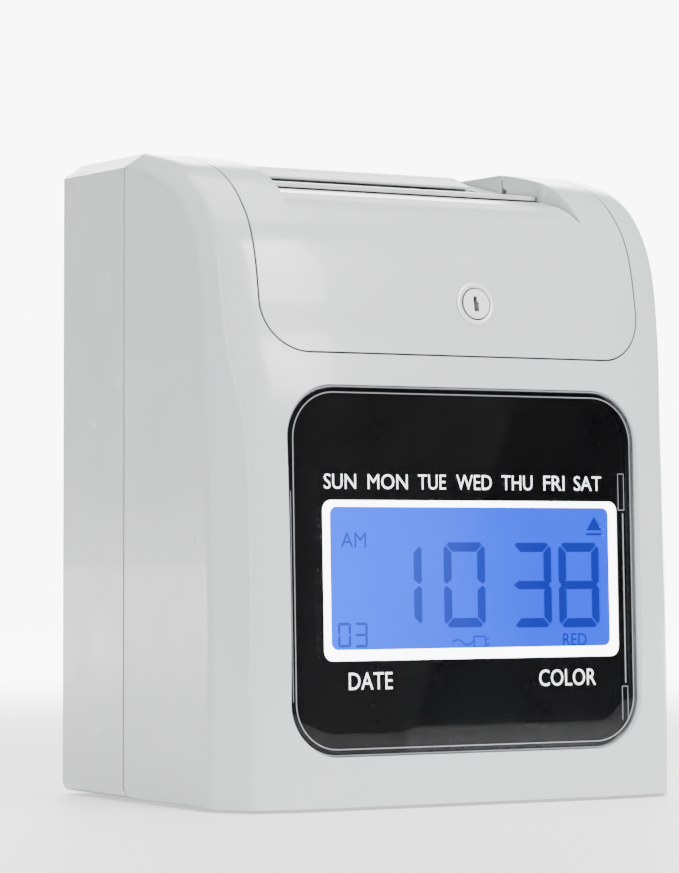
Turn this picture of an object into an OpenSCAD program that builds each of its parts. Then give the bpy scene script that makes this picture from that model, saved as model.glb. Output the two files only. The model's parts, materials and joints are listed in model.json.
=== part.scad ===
// Desk or wall punch time clock: a moulded two-part case with a lockable top cover,
// a card throat between the shells, a window display, and the print mechanism inside.
// Origin: centre of the footprint on the resting plane. +Z up, the front faces -Y, +X is
// to the right seen from the front.

/* [Case] */
// Overall width
body_w = 177.8; // [176:0.1:180]
// Overall depth
body_d = 114.3; // [114:0.1:116]
// Overall height
body_h = 208.3; // [208:0.1:209]
// Wall thickness of the moulded shells
wall = 2.4; // [2:0.1:2.8]
// Depth position of the joint between the front and rear shells
seam_y = 11.6; // [11.4:0.1:12]
// Height of the case bottom above the resting plane
foot_gap = 1; // [0.6:0.1:1.4]

/* [Top cover] */
// Half width of the cover
cover_hw = 70.85; // [70:0.05:71.5]
// Height of the cover's lower edge
cover_z = 142.6; // [141:0.1:144]
// Radius of the cover's lower corners
cover_r = 15.5; // [12:0.5:18]
// Gap round the cover
cover_gap = 0.5; // [0.3:0.05:0.5]
// Half width of the trough between the cover's shoulders
trough_hw = 55.45; // [54:0.05:56]

/* [Card throat] */
// Half width of the card slot
slot_hw = 44; // [43.5:0.1:45]
// Front face of the card slot
slot_y0 = 11.6; // [11.4:0.1:12]
// Rear face of the card slot
slot_y1 = 16.6; // [16:0.1:17]
// Height of the shelf that the bottom of the card rests on
card_stop_z = 62; // [58:1:70]

/* [Display] */
// Half width of the display recess
disp_hw = 65.7; // [64:0.1:66.5]
// Lower edge of the display recess
disp_z0 = 16.5; // [16:0.1:18]
// Upper edge of the display recess
disp_z1 = 132.4; // [130:0.1:133]
// Corner radius of the display recess
disp_r = 17; // [14:0.5:18]
// Width of the liquid crystal window
lcd_w = 111.3; // [108:0.1:113]
// Height of the liquid crystal window
lcd_h = 50.2; // [48:0.1:52]

/* [Lock] */
// Sideways position of the lock
lock_x = 7.5; // [5:0.1:9]
// Height of the lock
lock_z = 159.4; // [158:0.1:161]
// Radius of the turning plug
plug_r = 4.9; // [4.7:0.1:5.1]

/* [Mechanism] */
// Height of the carriage rails' front rod
rail_z = 156; // [155.5:0.1:156.5]
// Radius of the carriage rails
rail_r = 2.5; // [2.4:0.1:2.6]
// Height of the card feed shaft
feed_z = 120; // [118:0.5:121]
// Radius of the feed rollers
feed_r = 6.5; // [6.3:0.1:6.5]
// Teeth on the feed gear
gear_teeth = 20; // [20:1:20]
// Teeth on the feed motor's pinion
pinion_teeth = 10; // [10:1:10]

/* [Hidden] */
$fn = 48;

eps = 0.01;
run_fit = 0.06;      // radial clearance of a turning or sliding fit
half_w = body_w / 2;
half_d = body_d / 2;

// Control points of the front shell, from the bottom edge up to the shell joint.
// crest: where the front or roof face meets the edge bevel, as [x, y, z]
crest = [
    [78.0, -52.8, -6], [78.0, -52.8, 6], [77.9, -52.9, 32], [77.3, -52.9, 57],
    [77.0, -52.1, 81], [77.2, -50.9, 104], [78.0, -49.0, 121], [79.7, -46.4, 132.5],
    [81.3, -43.8, 145], [82.0, -41.6, 159], [82.1, -39.2, 172], [82.0, -35.8, 181.5],
    [81.9, -31.0, 189.2], [81.7, -24.5, 195.8], [81.6, -15.0, 201.3],
    [81.5, -2.0, 205.3], [81.5, 11.6, 208.3], [81.5, 18.0, 209.7]
];
// crease: where the bevel meets the side face, as [y, z]
crease = [
    [-41.3, -6], [-41.4, 6], [-41.3, 32], [-40.9, 57], [-40.0, 81], [-38.8, 104],
    [-37.8, 121], [-37.1, 132.5], [-36.1, 145], [-34.9, 158], [-33.0, 169.5],
    [-30.2, 178], [-26.2, 185], [-20.5, 191.2], [-12.2, 196.5], [-1.5, 200.6],
    [11.6, 203.4], [18.0, 204.8]
];
// crown: how far the middle of the face stands proud of the crest
crown = [4.2, 4.25, 4.25, 4.25, 4.2, 4.3, 4.8, 5.4, 5.2, 5, 4.9, 4.6, 3.4, 2.4, 1.5, 0.6, 0, 0];
crown_power = 8;
side_taper = 2.7 / 53;           // narrowing of the side face towards the front
stations = len(crest) - 3;       // spans between the second and the last but one point
span_steps = 3;                  // facets along each span
across = [0, 0.62, 0.74, 0.84, 0.93, 1];  // stations across the face, as parts of the crest's x

function catmull(a, b, c, d, t) =
    0.5 * (2 * b + (c - a) * t + (2 * a - 5 * b + 4 * c - d) * t * t
        + (3 * b - a - 3 * c + d) * t * t * t);
function along(list, s) =
    let (last = len(list) - 1, i = min(max(floor(s), 0), last - 1), t = s - i)
    catmull(list[max(i - 1, 0)], list[i], list[i + 1], list[min(i + 2, last)], t);
function unit(v) = v / norm(v);
function face_normal(s) =
    let (a = along(crest, s - 0.02), b = along(crest, s + 0.02),
        t = unit([b[1] - a[1], b[2] - a[2]]))
    [-t[1], t[0]];
function side_x(y) = half_w - side_taper * max(seam_y - y, 0);

// One row of points across the body at station s, set in by t: left crease to right crease
function half_row(s, t) =
    let (c = along(crest, s), n = face_normal(s), k = along(crown, s), e = along(crease, s),
        x1 = c[0] - 0.7 * t)
    concat(
        [for (u = across) let (p = k * (1 - pow(u, crown_power)) - t)
            [u * x1, c[1] + n[0] * p, c[2] + n[1] * p]],
        [[side_x(e[0]) - t, e[0] - n[0] * t * 0.5, e[1] - n[1] * t * 0.5]]
    );
function flip(row) = [for (i = [len(row) - 1:-1:1]) [-row[i][0], row[i][1], row[i][2]]];
function full_row(s, t) = concat(flip(half_row(s, t)), half_row(s, t));

// Solid of the front half of the case, set in by t. Its back lies behind the shell joint.
module front_solid(t) {
    count = (len(crest) - 1) * span_steps;
    rows = [for (i = [0:count]) full_row(i / span_steps, t)];
    m = len(rows[0]);
    last = count * m;
    low = [[-(half_w - t), 18, -6], [half_w - t, 18, -6]];
    points = concat([for (r = rows) each r], low);
    bl = len(points) - 2;
    br = len(points) - 1;
    faces = concat(
        [for (i = [0:count - 1]) for (j = [0:m - 2]) each [
            [i * m + j, (i + 1) * m + j, i * m + j + 1],
            [i * m + j + 1, (i + 1) * m + j, (i + 1) * m + j + 1]
        ]],
        [for (i = [0:count - 1]) [bl, (i + 1) * m, i * m]],
        [for (i = [0:count - 1]) [br, i * m + m - 1, (i + 1) * m + m - 1]],
        [for (j = [0:m - 2]) [j, j + 1, bl]],
        [[bl, m - 1, br]],
        [for (j = [0:m - 2]) [last + j + 1, last + j, bl]],
        [[last + m - 1, bl, br]]
    );
    polyhedron(points, faces, convexity = 6);
}

// Rectangle with rounded corners, built from squares and circles
module rounded(w, h, r) {
    square([w - 2 * r, h], center = true);
    square([w, h - 2 * r], center = true);
    for (x = [-1, 1])
        for (y = [-1, 1])
            translate([x * (w / 2 - r), y * (h / 2 - r)])
                circle(r);
}

// Extrudes a drawing in X and Z from y0 to y1
module along_y(y0, y1) {
    translate([0, y1, 0])
        rotate([90, 0, 0])
            linear_extrude(y1 - y0)
                children();
}

// Extrudes a drawing in Y and Z from x0 to x1
module along_x(x0, x1) {
    translate([x0, 0, 0])
        rotate([90, 0, 90])
            linear_extrude(x1 - x0)
                children();
}

module block(x, y, z) {
    translate([x[0], y[0], z[0]])
        cube([x[1] - x[0], y[1] - y[0], z[1] - z[0]]);
}

module rod_x(r, x0, x1, y, z) {
    translate([x0, y, z])
        rotate([0, 90, 0])
            cylinder(r = r, h = x1 - x0);
}

module rod_y(r, y0, y1, x, z) {
    translate([x, y0, z])
        rotate([-90, 0, 0])
            cylinder(r = r, h = y1 - y0);
}

module rod_z(r, z0, z1, x, y) {
    translate([x, y, z0])
        cylinder(r = r, h = z1 - z0);
}

// Outline of the case seen from the front, set in by t, with rounded lower corners
corner_r = 4;
roof_crest = 81.5;       // half width of the flat roof
roof_drop = 4.9;         // fall of the bevel along the roof's sides
module case_outline(t) {
    low = foot_gap + t;
    r = corner_r;
    translate([-(half_w - t - r), low])
        square([2 * (half_w - t - r), 20]);
    translate([-(half_w - t), low + r])
        square([2 * (half_w - t), body_h - roof_drop - low - r - 0.5 * t]);
    for (x = [-1, 1])
        translate([x * (half_w - t - r), low + r])
            circle(r);
    polygon([
        [-(half_w - t), 100], [half_w - t, 100], [half_w - t, body_h - roof_drop - 0.5 * t],
        [roof_crest - 0.7 * t, body_h - t], [-(roof_crest - 0.7 * t), body_h - t],
        [-(half_w - t), body_h - roof_drop - 0.5 * t]
    ]);
}

// Outline of the cover seen from the front, grown by g
module cover_outline(g) {
    r = cover_r + g;
    w = 2 * (cover_hw + g);
    top = body_h + 30;
    translate([0, (cover_z - g + top) / 2])
        rounded(w, top - cover_z + g, r);
}

module disp_outline(g) {
    translate([0, (disp_z0 + disp_z1) / 2])
        rounded(2 * (disp_hw + g), disp_z1 - disp_z0 + 2 * g, disp_r + g);
}

// Floor of the trough between the shoulders, as points in Y and Z from the back to the front
trough_floor = [
    [seam_y, 201], [-10, 197.2], [-14, 196.7], [-18, 195.9], [-24, 194.4], [-30, 191.9],
    [-35.8, 188], [-41, 183.2], [-47, 176.5]
];
module trough_space(drop) {
    polygon(concat(
        [for (p = trough_floor) [p[0], p[1] - drop]],
        [[-80, 176.5 - drop], [-80, 240], [seam_y, 240]]
    ));
}

// ---- fixing points shared by several parts ----
screw_x = 79;
screw_zs = [17, 176];
screw_r = 1.4;
foot_x = 68;
foot_ys = [-36, 44];
foot_r = 6;
key_xs = [-52, -40, -28];
key_z = 152;
hinge_y = 8.8;
hinge_z = 205.5;
hinge_pin_r = 1;
lug_x = [73.4, 79.6];
keyhole_x = 45;
keyhole_z = 165;
keyhole_r = 4.2;
jack_x = 58;
jack_z = 22;
jack_r = 2.85;
power_holes = [[-4, 58], [62, 58], [-4, 16]];

module screw_posts(y0, y1, r) {
    for (x = [-1, 1])
        for (z = screw_zs)
            rod_y(r, y0, y1, x * screw_x, z);
}

module front_shell() {
    color("#d6d8d8")
    difference() {
        union() {
            difference() {
                intersection() {
                    front_solid(0);
                    along_y(-70, seam_y)
                        case_outline(0);
                }
                intersection() {
                    front_solid(wall);
                    along_y(-70, seam_y + 1)
                        case_outline(wall);
                }
                along_y(-70, seam_y + 1)
                    cover_outline(cover_gap);
            }
            along_x(-52, 52)
                polygon(ledge);
            screw_posts(-12, seam_y, 4.6);
            post_ribs();
            hinge_lugs();
            display_seat();
        }
        disp_frame()
            along_y(-12, 3.9)
                disp_outline(0);
        screw_posts(-10, seam_y + 1, screw_r);
        feet_recess();
        hinge_bores();
    }
}

// Ledge behind the cover's lower edge, as points in Y and Z
ledge = [[-49.4, 137.4], [-43.6, 137.4], [-43.6, 146.4], [-45, 146.4], [-46.2, 142], [-49.2, 141]];

// Ribs that tie the screw posts to the side walls
module post_ribs() {
    for (x = [-1, 1])
        for (z = screw_zs)
            block(x > 0 ? [screw_x, half_w - 2] : [2 - half_w, -screw_x], [-12, seam_y],
                [z - 1.2, z + 1.2]);
}

// Collar behind the window opening that carries the lens and the main board
lens_tilt = 1.7;
collar_t = 1.6;
board_hole_x = 60;
board_hole_z = 50;
module disp_frame() {
    translate([0, -56.3, disp_z0])
        rotate([-lens_tilt, 0, 0])
            translate([0, 0, -disp_z0])
                children();
}

module display_seat() {
    disp_frame() {
        difference() {
            along_y(1.5, 5.5)
                disp_outline(collar_t);
            along_y(3, 6)
                disp_outline(-4.5);
        }
        for (x = [-1, 1])
            for (z = [-1, 1])
                rod_y(2.6, 5, 8.4, x * board_hole_x, (disp_z0 + disp_z1) / 2 + z * board_hole_z);
    }
}

module hinge_lugs() {
    for (x = [-1, 1])
        block(x > 0 ? lug_x : [-lug_x[1], -lug_x[0]], [hinge_y - 3, seam_y], [hinge_z - 6, hinge_z + 1]);
}

module hinge_bores() {
    for (x = [-1, 1])
        rod_x(hinge_pin_r, x > 0 ? 70 : -78, x > 0 ? 78 : -70, hinge_y, hinge_z);
}

module feet_recess() {
    for (x = [-1, 1])
        for (y = foot_ys)
            rod_z(foot_r, foot_gap - 1, foot_gap + 0.6, x * foot_x, y);
}

joint_groove = [0.5, 0.4];   // width and depth of the groove along the shells' joint
module rear_shell() {
    lip_y = 27.6;
    lip_z = 204.1;
    groove_y = 24.4;
    color("#d2d4d4")
    difference() {
        union() {
            difference() {
                along_y(seam_y, half_d)
                    case_outline(0);
                along_y(seam_y - 1, half_d - wall)
                    case_outline(wall);
            }
            screw_posts(seam_y, half_d - wall + eps, 5.2);
            for (p = power_holes)
                rod_y(3, 45.6, half_d - wall + eps, p[0], p[1]);
            trough_skin();
        }
        // trough, which runs out at the roof
        difference() {
            along_x(-trough_hw, trough_hw)
                polygon([
                    [seam_y - 1, 202], [seam_y, 202.1], [40, body_h], [40, 240], [seam_y - 1, 240]
                ]);
            along_x(-slot_hw - 2, slot_hw + 2)
                polygon([
                    [slot_y1, 190], [slot_y1, lip_z], [lip_y, body_h - eps], [50, body_h - eps], [50, 190]
                ]);
        }
        along_x(-slot_hw - 2, slot_hw + 2)
            polygon([
                [seam_y - 1, 199], [slot_y1, 199], [slot_y1, lip_z], [lip_y, body_h], [lip_y, 240],
                [seam_y - 1, 240]
            ]);
        block([-slot_hw, slot_hw], [seam_y - 1, slot_y1], [180, 220]);
        // open underside of the lip
        along_x(-slot_hw, slot_hw)
            polygon([
                [slot_y1 - eps, 190], [slot_y1 - eps, lip_z - 0.8], [lip_y, body_h - 1.8], [43, body_h - 1.8],
                [43, 190]
            ]);
        // fine groove across the lip
        block([-slot_hw - 2, slot_hw + 2], [groove_y, groove_y + 0.5], [206.4, 212]);
        for (x = [-1, 1])
            for (z = screw_zs) {
                rod_y(screw_r + 0.3, seam_y - 1, half_d + 1, x * screw_x, z);
                rod_y(3.4, seam_y + 8, half_d + 1, x * screw_x, z);
            }
        for (x = [-1, 1]) {
            rod_y(keyhole_r, half_d - 6, half_d + 1, x * keyhole_x, keyhole_z);
            block([x * keyhole_x - 2, x * keyhole_x + 2], [half_d - 6, half_d + 1],
                [keyhole_z, keyhole_z + 9]);
            rod_y(2, half_d - 6, half_d + 1, x * keyhole_x, keyhole_z + 9);
        }
        block([jack_x - 6.5, jack_x + 6.5], [half_d - 5, half_d + 1], [jack_z - 6.5, jack_z + 6.5]);
        rear_vents();
        feet_recess();
        // groove along the joint with the front shell
        along_y(seam_y - 1, seam_y + joint_groove[0])
            difference() {
                case_outline(-2);
                case_outline(joint_groove[1]);
            }
        // relieved edges at the back
        for (x = [-1, 1])
            translate([x * half_w, half_d, 0])
                rotate([0, 0, 45])
                    cube([2.2, 2.2, 500], center = true);
    }
}

// Skin below the trough, so that the rear shell keeps its wall there
module trough_skin() {
    along_x(-trough_hw - wall, trough_hw + wall)
        polygon([
            [seam_y, 202.1 - wall], [44, body_h - wall - 0.6], [44, body_h - wall + eps], [40, body_h],
            [seam_y, body_h - 2]
        ]);
}

vent_count = 12;
vent_pitch = 6;
module rear_vents() {
    for (i = [0:vent_count - 1])
        translate([(i - (vent_count - 1) / 2) * vent_pitch, 0, 0])
            block([-1, 1], [half_d - 5, half_d + 1], [92, 116]);
}

module top_cover() {
    color("#dcdede")
    difference() {
        union() {
            difference() {
                intersection() {
                    front_solid(0);
                    along_y(-70, seam_y - 0.3)
                        cover_outline(0);
                }
                along_x(-trough_hw, trough_hw)
                    trough_space(0);
                difference() {
                    front_solid(wall);
                    along_x(-trough_hw - wall, trough_hw + wall)
                        trough_space(wall);
                }
                // the trough floor ends where the throat plate begins
                block([-trough_hw - 0.2, trough_hw + 0.2], [cover_cut_y, seam_y + 1], [150, 240]);
                block([-trough_hw - 5, trough_hw + 5], [cover_cut_y, seam_y + 1], [150, 195.6]);
            }
            cover_knuckles();
        }
        // rear edges rounded about the hinge
        difference() {
            block([-90, 90], [hinge_y, seam_y + 1], [190, 220]);
            rod_x(seam_y - 0.3 - hinge_y, -90, 90, hinge_y, hinge_z);
        }
        for (x = [-1, 1])
            rod_x(hinge_pin_r + run_fit, x > 0 ? 62 : -80, x > 0 ? 80 : -62, hinge_y, hinge_z);
        // seat of the lock
        lock_frame()
            rod_z(7.5, -0.9, 20, 0, 0);
        lock_frame()
            rod_z(barrel_r, -12, 20, 0, 0);
        // relief notches along the trough's rear edge
        for (i = [-3:3])
            translate([i * notch_pitch, 0, 0])
                block([-0.9, 0.9], [cover_cut_y - 1.4, cover_cut_y + 1], [196, 204]);
    }
}
notch_pitch = 13.5;
cover_cut_y = -10;     // where the trough floor of the cover ends

module cover_knuckles() {
    r = seam_y - 0.3 - hinge_y;
    for (x = [-1, 1])
        intersection() {
            rod_x(r, x > 0 ? 58.5 : -cover_hw, x > 0 ? cover_hw : -58.5, hinge_y, hinge_z);
            front_solid(0);
        }
}

module hinge_pins() {
    color("#b8bcc0")
        for (x = [-1, 1])
            rod_x(hinge_pin_r, x > 0 ? 63 : -77.5, x > 0 ? 77.5 : -63, hinge_y, hinge_z);
}

// ---- lock: local Z points out of the cover along the lock's axis ----
lock_tilt = 9;
lock_y = -46.9;
barrel_r = 5.9;
module lock_frame() {
    translate([lock_x, lock_y, lock_z])
        rotate([90 - lock_tilt, 0, 0])
            children();
}

module lock_barrel() {
    color("#c9ccce")
        lock_frame()
            difference() {
                union() {
                    translate([0, 0, -14])
                        cylinder(r = barrel_r - 0.05, h = 14);
                    translate([0, 0, -0.8])
                        cylinder(r = 7.2, h = 1.1);
                }
                translate([0, 0, -15])
                    cylinder(r = plug_r + run_fit, h = 20);
            }
}

module lock_nut() {
    color("#a9adb0")
        lock_frame()
            translate([0, 0, -6.4])
                difference() {
                    cylinder(r = 9, h = 3, $fn = 6);
                    translate([0, 0, -1])
                        cylinder(r = barrel_r - 0.05, h = 5);
                }
}

module lock_plug() {
    color("#d8dadc")
        lock_frame()
            difference() {
                union() {
                    translate([0, 0, -14.6])
                        cylinder(r = plug_r, h = 15);
                    translate([0, 0, -17.4])
                        cylinder(r = 2.2, h = 3);
                }
                translate([-0.95, -2.45, -9])
                    cube([1.3, 4.9, 12]);
                translate([-0.95, -2.45, -9])
                    cube([1.9, 3.1, 12]);
            }
}

cam_len = 13;
module lock_cam() {
    color("#b0b4b8")
        lock_frame()
            translate([0, 0, -16.2])
                difference() {
                    union() {
                        cylinder(r = 5, h = 1.5);
                        translate([-cam_len, -3.2, 0])
                            cube([cam_len, 6.4, 1.5]);
                    }
                    translate([0, 0, -1])
                        cylinder(r = 2.2, h = 4);
                }
}

// Bracket on the shell's inside that the cam turns behind
module lock_keeper() {
    color("#a0a4a8")
        union() {
            block([1, 14], [-43.6, -42.2], [137.4, 146.4]);
            block([1, 14], [-43.6, -35], [137.4, 138.8]);
            block([1, 14], [-36.4, -35], [137.4, 148.4]);
        }
}

// ---- display ----
lens_gap = 0.25;
lcd_x = 4.05;
lcd_z = 71.35;
lcd_pocket = 2.6;      // how much wider and higher the frame's pocket is than its front opening
module lens_outline(g) {
    translate([0, (disp_z0 + disp_z1) / 2])
        rounded(2 * (disp_hw - g), disp_z1 - disp_z0 - 2 * g, disp_r - g);
}

module display_lens() {
    color("#aab4ba", 0.4)
        disp_frame() {
            along_y(0.9, 3.4)
                lens_outline(lens_gap + 2.2);
            along_y(1.6, 3.4)
                lens_outline(lens_gap);
        }
}

module display_mask() {
    color("#0c0c0c")
        disp_frame()
            difference() {
                along_y(3.4, 3.9)
                    lens_outline(lens_gap + 0.6);
                along_y(3, 5)
                    translate([lcd_x, lcd_z])
                        rounded(lcd_w, lcd_h, 3.2);
            }
}

module lcd_frame() {
    color("#f2f4f4")
        disp_frame()
            difference() {
                along_y(3.9, 8.4)
                    translate([lcd_x, lcd_z])
                        rounded(lcd_w + 3, lcd_h + 3, 4);
                along_y(3, 5)
                    translate([lcd_x, lcd_z + 0.7])
                        rounded(lcd_w - 5.9, lcd_h - 5.5, 2.4);
                along_y(4.5, 9)
                    translate([lcd_x, lcd_z])
                        square([lcd_w - 5.9 + lcd_pocket, lcd_h - 5.5 + lcd_pocket], center = true);
            }
}

module lcd_panel() {
    color("#7fa8f0")
        disp_frame()
            along_y(4.6, 6.4)
                translate([lcd_x, lcd_z])
                    square([lcd_w - 6 + lcd_pocket, lcd_h - 5.6 + lcd_pocket], center = true);
}

module backlight() {
    color("#e8eef8")
        disp_frame()
            along_y(6.4, 8.4)
                translate([lcd_x, lcd_z])
                    square([lcd_w - 6 + lcd_pocket, lcd_h - 5.6 + lcd_pocket], center = true);
}

module main_board() {
    color("#1f6b3a")
        disp_frame()
            difference() {
                along_y(8.4, 10)
                    translate([0, (disp_z0 + disp_z1) / 2])
                        square([127, 107], center = true);
                for (x = [-1, 1])
                    for (z = [-1, 1])
                        rod_y(1.2, 8, 11, x * board_hole_x, (disp_z0 + disp_z1) / 2 + z * board_hole_z);
            }
}

// Chips, capacitors, connectors and the buzzer on both boards
module board_components() {
    color("#2a2c2e")
        disp_frame() {
            block([-14, 6], [10, 12.4], [60, 80]);
            block([20, 32], [10, 12], [84, 94]);
            block([-44, -30], [10, 12], [40, 50]);
            for (i = [0:3])
                block([-20 + i * 14, -12 + i * 14], [10, 16], [26, 31]);
            rod_y(6, 10, 19, 44, 44);
        }
    color("#3a4a8a")
        for (i = [0:2])
            rod_y(4, 32.5, 44, 2 + i * 12, 30);
    color("#2a2c2e")
        block([36, 52], [32, 44], [38, 56]);
}

module power_board() {
    color("#2c7a46")
        difference() {
            block([-8, 66], [44, 45.6], [12, 62]);
            for (p = power_holes)
                rod_y(1.3, 43, 47, p[0], p[1]);
        }
}

module dc_jack() {
    color("#18191a")
        difference() {
            block([jack_x - 6.2, jack_x + 6.2], [45.6, half_d - 0.4], [jack_z - 6.2, jack_z + 6.2]);
            rod_y(jack_r, 48, half_d + 1, jack_x, jack_z);
        }
}

module battery_pack() {
    color("#3f8f5a")
        for (i = [0:2])
            rod_x(6.6, -54, -12, 20.4 + i * 13.4, foot_gap + wall + 6.6);
}

// ---- setting keys under the cover ----
module key_panel() {
    color("#e0e2e2")
        difference() {
            union() {
                block([-61, -19], [-40.6, -39.2], [136, 160]);
                for (x = [-51, -24])
                    block([x, x + 4.5], [-43.6, -40.6], [138, 146]);
            }
            for (x = key_xs)
                rod_y(3.7, -45, -36, x, key_z);
        }
}

module setting_key(i) {
    rod_y(3.4, -43.2, -38.9, key_xs[i], key_z);
    rod_y(4.4, -38.9, -38.3, key_xs[i], key_z);
}

module select_key() {
    color("#8d9296")
        setting_key(0);
}

module change_key() {
    color("#8d9296")
        setting_key(1);
}

module set_key() {
    color("#c0483c")
        setting_key(2);
}

module tact_switches() {
    color("#1c1d1e")
        for (x = key_xs)
            block([x - 3, x + 3], [-37, -34.4], [key_z - 3, key_z + 3]);
}

module key_board() {
    color("#1f6b3a")
        block([-61, -19], [-34.4, -33], [144, 160]);
    color("#e8e8e8")
        for (x = [-60, -22])
            block([x, x + 2], [-39.2, -34.4], [157, 159.5]);
}

// ---- frames ----
frame_x = [66, 67.2];
frame_profile = [[-34, 8], [38, 8], [38, 190], [0, 190], [-20, 182], [-34, 166]];
module side_plate(x0, x1) {
    difference() {
        along_x(x0, x1)
            polygon(frame_profile);
        along_x(x0 - 1, x1 + 1)
            translate([2, 60])
                rounded(48, 74, 8);
        rod_x(rail_r, x0 - 1, x1 + 1, front_rail_y, rail_z);
        rod_x(rail_r, x0 - 1, x1 + 1, rear_rail_y, rear_rail_z);
        rod_x(4.5, x0 - 1, x1 + 1, feed_y, feed_z);
        rod_x(3.5, x0 - 1, x1 + 1, pinch_y, feed_z);
        rod_x(3, x0 - 1, x1 + 1, motor_y, motor_z);
    }
}

// foot flange of a side plate, which stands on the case floor
module left_frame() {
    color("#b9bdbf") {
        side_plate(-frame_x[1], -frame_x[0]);
        block([-frame_x[1], -56], [-30, 34], [6.8, 8]);
        for (y = [-24, 28])
            block([-62, -57], [y - 2.5, y + 2.5], [foot_gap + wall, 6.8]);
    }
}

module right_frame() {
    color("#b9bdbf") {
        side_plate(frame_x[0], frame_x[1]);
        block([56, frame_x[1]], [-30, 34], [6.8, 8]);
        for (y = [-24, 28])
            block([57, 62], [y - 2.5, y + 2.5], [foot_gap + wall, 6.8]);
    }
}

plate_y = [-15.8, -14.6];
module cross_plate() {
    color("#b9bdbf")
        difference() {
            union() {
                block([-66, 66], plate_y, [112, 144]);
                block([-66, -30], [-31, plate_y[0]], [142.8, 144]);
            }
            rod_y(3, -20, -10, pulley_x, pulley_z);
            rod_y(2, -20, -10, -pulley_x, pulley_z);
            rod_z(2 + run_fit, 140, 146, ribbon_x, ribbon_y);
        }
}

// ---- card throat ----
module card_guide_front() {
    color("#e6e8e8")
        difference() {
            union() {
                block([-66, 66], [slot_y0 - 1.4, slot_y0], [100, 186]);
                block([-52, 52], [slot_y0 - 1.4, slot_y0], [card_stop_z - 3, 200.5]);
                // plate that shows in the trough, in front of the slot
                along_x(-trough_hw + 0.3, trough_hw - 0.3)
                    polygon([
                        [cover_cut_y + 0.4, 199.2], [slot_y0, 201.9], [slot_y0, 199.5],
                        [cover_cut_y + 0.4, 197.8]
                    ]);
                // shelf that stops the card
                block([-52, 52], [slot_y0 - 1.4, slot_y1], [card_stop_z - 3, card_stop_z]);
            }
            block([-36, 36], [slot_y0 - 3, slot_y0 + 1], [157, 173]);
            for (x = [-25, 25])
                block([x - 6, x + 6], [slot_y0 - 3, slot_y0 + 1], [feed_z - 8, feed_z + 8]);
            block([gear_x[0] - 1.5, gear_x[1] + 1.5], [slot_y0 - 3, slot_y0 + 1],
                [feed_z - 9.5, feed_z + 9.5]);
        }
}

module card_guide_rear() {
    color("#cfd2d2")
        difference() {
            union() {
                block([-66, 66], [slot_y1, slot_y1 + 1.4], [100, 186]);
                block([-52, 52], [slot_y1, slot_y1 + 1.4], [card_stop_z - 3, 198.5]);
                for (x = [-10, 8])
                    block([x, x + 2], [slot_y1 + 1.4, 26.5], [96, 106]);
            }
            block([-41, 41], [slot_y1 - 1, slot_y1 + 3], [160.6, 169.4]);
            for (x = [-25, 25])
                block([x - 6, x + 6], [slot_y1 - 1, slot_y1 + 3], [feed_z - 6.5, feed_z + 6.5]);
            block([-3, 3], [slot_y1 - 1, slot_y1 + 3], [91, 110]);
            // relief in front of the pinch shaft
            block([-67, 67], [slot_y1 + 0.8, slot_y1 + 3], [feed_z - 2.4, feed_z + 2.4]);
            rod_x(sensor_pin_r, -12, 12, sensor_y, sensor_z);
        }
}

module platen() {
    color("#222324")
        union() {
            block([-40.5, 40.5], [slot_y1 + 0.1, 20.5], [161, 169]);
            block([-66, 66], [slot_y1 + 1.4, 20.5], [162, 168]);
        }
}

// ---- print carriage ----
front_rail_y = -18;
rear_rail_y = -2;
rear_rail_z = 152.4;
module carriage_rails() {
    color("#c4c8cc") {
        rod_x(rail_r, -68, 68, front_rail_y, rail_z);
        rod_x(rail_r, -68, 68, rear_rail_y, rear_rail_z);
    }
}

pulley_x = 52;
pulley_z = 140;
pulley_r = 6;
belt_y = [-13, -9];
belt_t = 0.9;
module print_carriage() {
    color("#35383a")
        difference() {
            union() {
                block([-11, 11], [-24, 1], [148.2, 160]);
                block([-5, 5], [-14.2, -7.8], [144.4, 148.2]);
            }
            rod_x(rail_r + run_fit, -12, 12, front_rail_y, rail_z);
            rod_x(rail_r + run_fit, -12, 12, rear_rail_y, rear_rail_z);
            block([-12, 12], [belt_y[0] - 0.4, belt_y[1] + 0.4], [145.5, 147.4]);
        }
}

module print_head() {
    color("#8f9498") {
        block([-8.5, 8.5], [-20, -4], [160, 162.5]);
        for (i = [0:5])
            block([-8, 8], [-19.4 + i * 2.6, -18 + i * 2.6], [162.5, 169]);
        block([-6.5, 6.5], [-19.4, -4.2], [162.5, 167.5]);
        along_x(-4.5, 4.5)
            polygon([[-4.2, 161], [ribbon_y0 - 0.7, 162.4], [ribbon_y0 - 0.7, 166.4], [-4.2, 168]]);
    }
}

module belt_loop(grow) {
    translate([-pulley_x, pulley_z])
        circle(pulley_r + grow);
    translate([pulley_x, pulley_z])
        circle(pulley_r + grow);
    translate([-pulley_x, pulley_z - pulley_r - grow])
        square([2 * pulley_x, 2 * (pulley_r + grow)]);
}

module carriage_belt() {
    color("#1a1a1b")
        difference() {
            along_y(belt_y[0], belt_y[1])
                belt_loop(belt_t);
            along_y(belt_y[0] - 1, belt_y[1] + 1)
                belt_loop(0);
        }
}

module pulley(x, bore) {
    difference() {
        union() {
            rod_y(pulley_r - 0.2, -13.9, -8.1, x, pulley_z);
            rod_y(pulley_r + 1.6, -13.9, -13.3, x, pulley_z);
            rod_y(pulley_r + 1.6, -8.7, -8.1, x, pulley_z);
        }
        rod_y(bore, -20, 0, x, pulley_z);
    }
}

module drive_pulley() {
    color("#d8dadb")
        pulley(pulley_x, 1.5);
}

module idler_pulley() {
    color("#d8dadb")
        pulley(-pulley_x, 2 + run_fit);
}

module idler_pin() {
    color("#b8bcc0") {
        rod_y(2, -15.8, -7.6, -pulley_x, pulley_z);
        rod_y(3.4, -7.8, -7, -pulley_x, pulley_z);
    }
}

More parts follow.
